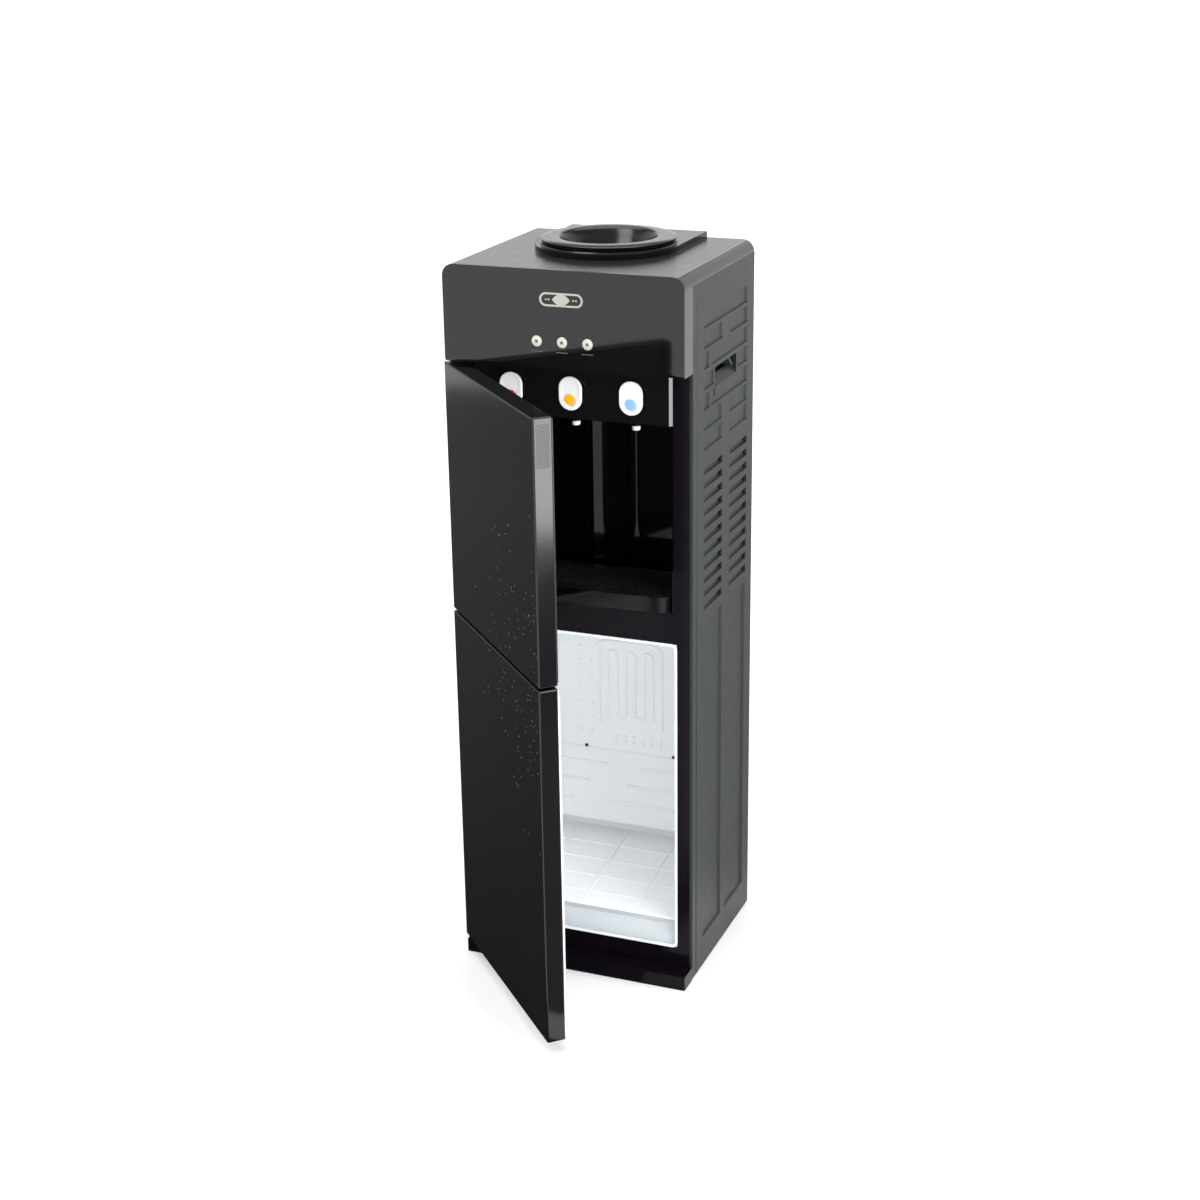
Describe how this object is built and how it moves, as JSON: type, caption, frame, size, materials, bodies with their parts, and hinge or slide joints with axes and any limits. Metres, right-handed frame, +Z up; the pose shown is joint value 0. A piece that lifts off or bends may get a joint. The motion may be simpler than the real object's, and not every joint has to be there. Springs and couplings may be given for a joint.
{
  "type": "water dispenser",
  "caption": "Floor-standing bottle-top water dispenser with push taps over a drip tray and a small fridge behind hinged doors.",
  "frame": {"origin": "on the floor under the middle of the cabinet", "axes": "+Z up, front of the cabinet towards -Y, +X to the right of someone facing the cabinet's front"},
  "size_m": [0.3382, 0.5114, 1.018],
  "materials": {
    "gloss_black": "mirror-gloss black",
    "satin_black": "satin black",
    "grain_grey": "fine-grained dark grey",
    "white_plastic": "smooth white",
    "black_paint": "satin black paint",
    "steel": "satin",
    "rubber": "matt black",
    "foam": "foam",
    "silicone": "milky",
    "aluminium": "rolled",
    "board_green": "board lacquer",
    "badge_silver": "silvered",
    "dot_red": "smooth red",
    "dot_amber": "smooth amber",
    "dot_blue": "smooth light blue"
  },
  "bodies": {
    "cabinet": {"base_pan": "black_paint", "foot_front_left": "rubber", "foot_front_right": "rubber", "foot_rear_left": "rubber", "foot_rear_right": "rubber", "left_side_panel": "grain_grey", "right_side_panel": "grain_grey", "top_cover": "satin_black", "head_front_panel": "gloss_black", "badge_plate": "badge_silver", "heating_lamp_lens": "white_plastic", "power_lamp_lens": "white_plastic", "cooling_lamp_lens": "white_plastic", "control_board": "board_green", "bottle_collar": "gloss_black", "bottle_probe": "white_plastic", "cold_tank": "steel", "cold_tank_lid": "white_plastic", "cold_tank_jacket": "foam", "hot_tank": "steel", "hot_tank_thermostat": "satin_black", "compressor": "black_paint", "compressor_grommet_left": "rubber", "compressor_grommet_right": "rubber", "machine_deck": "steel", "condenser_coil": "black_paint", "front_frame": "gloss_black", "alcove_liner": "gloss_black", "fridge_liner": "white_plastic", "fridge_insulation": "foam", "evaporator_plate": "aluminium", "tap_fascia": "gloss_black", "rear_panel": "black_paint", "switch_housing": "satin_black", "cord_gland": "satin_black", "drain_plug": "satin_black", "hinge_top": "steel", "hinge_middle": "steel", "hinge_bottom": "steel", "hot_tap_body": "white_plastic", "normal_tap_body": "white_plastic", "cold_tap_body": "white_plastic", "hot_water_tube": "silicone", "normal_water_tube": "silicone", "cold_water_tube": "silicone"},
    "upper_door": {"upper_door_shell": "gloss_black", "upper_door_inner_panel": "satin_black"},
    "lower_door": {"lower_door_shell": "gloss_black", "lower_door_liner": "white_plastic", "lower_door_gasket": "white_plastic"},
    "hot_tab": {"hot_tap_tab": "white_plastic", "hot_tap_dot": "dot_red"},
    "normal_tab": {"normal_tap_tab": "white_plastic", "normal_tap_dot": "dot_amber"},
    "cold_tab": {"cold_tap_tab": "white_plastic", "cold_tap_dot": "dot_blue"},
    "tray": {"drip_tray": "gloss_black"},
    "grille": {"tray_grille": "satin_black"},
    "hot_rocker": {"hot_switch_rocker": "satin_black"},
    "cold_rocker": {"cold_switch_rocker": "satin_black"}
  },
  "joints": [
    {"name": "upper_door_hinge", "type": "hinge", "parent": "cabinet", "child": "upper_door", "pos_m": [-0.158, -0.1281, 0.697], "axis": [0, 0, -1], "range_deg": [-46, 64]},
    {"name": "lower_door_hinge", "type": "hinge", "parent": "cabinet", "child": "lower_door", "pos_m": [-0.158, -0.1281, 0.273], "axis": [0, 0, -1], "range_deg": [-46, 64]},
    {"name": "hot_tab_pivot", "type": "hinge", "parent": "cabinet", "child": "hot_tab", "pos_m": [-0.084, -0.1135, 0.847], "axis": [1, 0, 0], "range_deg": [0, 9], "stiffness_Nm_per_rad": 0.35},
    {"name": "normal_tab_pivot", "type": "hinge", "parent": "cabinet", "child": "normal_tab", "pos_m": [0, -0.1135, 0.847], "axis": [1, 0, 0], "range_deg": [0, 9], "stiffness_Nm_per_rad": 0.35},
    {"name": "cold_tab_pivot", "type": "hinge", "parent": "cabinet", "child": "cold_tab", "pos_m": [0.084, -0.1135, 0.847], "axis": [1, 0, 0], "range_deg": [0, 9], "stiffness_Nm_per_rad": 0.35},
    {"name": "tray_lift", "type": "slide", "parent": "cabinet", "child": "tray", "axis": [0, 0, 1], "range_m": [0, 0.06]},
    {"name": "grille_lift", "type": "slide", "parent": "tray", "child": "grille", "axis": [0, 0, 1], "range_m": [0, 0.03]},
    {"name": "hot_switch_pivot", "type": "hinge", "parent": "cabinet", "child": "hot_rocker", "pos_m": [-0.014, 0.124, 0.892], "axis": [1, 0, 0], "range_deg": [0, 16]},
    {"name": "cold_switch_pivot", "type": "hinge", "parent": "cabinet", "child": "cold_rocker", "pos_m": [0.014, 0.124, 0.892], "axis": [1, 0, 0], "range_deg": [0, 16]}
  ]
}
